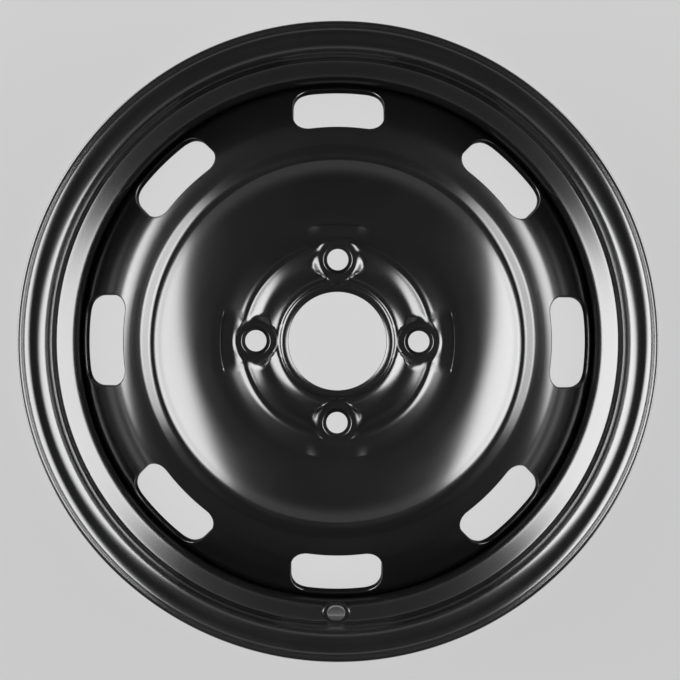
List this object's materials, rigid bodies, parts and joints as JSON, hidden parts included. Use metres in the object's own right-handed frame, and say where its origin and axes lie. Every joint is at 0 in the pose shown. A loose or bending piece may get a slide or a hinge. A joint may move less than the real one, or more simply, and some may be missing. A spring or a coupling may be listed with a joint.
{
  "type": "steel wheel",
  "caption": "Pressed-steel car wheel: a drop-centre rim welded to a dished disc with bolt seats, oblong vents, a centre bore and a valve hole.",
  "frame": {"origin": "centre of the bolt circle in the hub mounting face, on the wheel's axle", "axes": "+Z along the axle towards the outboard face, so the wheel lies on its inboard flange; the valve hole is at -Y; +X is to the picture's right"},
  "size_m": [0.4148, 0.4146, 0.1779],
  "materials": {
    "black_paint": "gloss"
  },
  "bodies": {
    "root": {"rim": "black_paint", "disc": "black_paint", "weld_beads": "black_paint"}
  },
  "joints": []
}
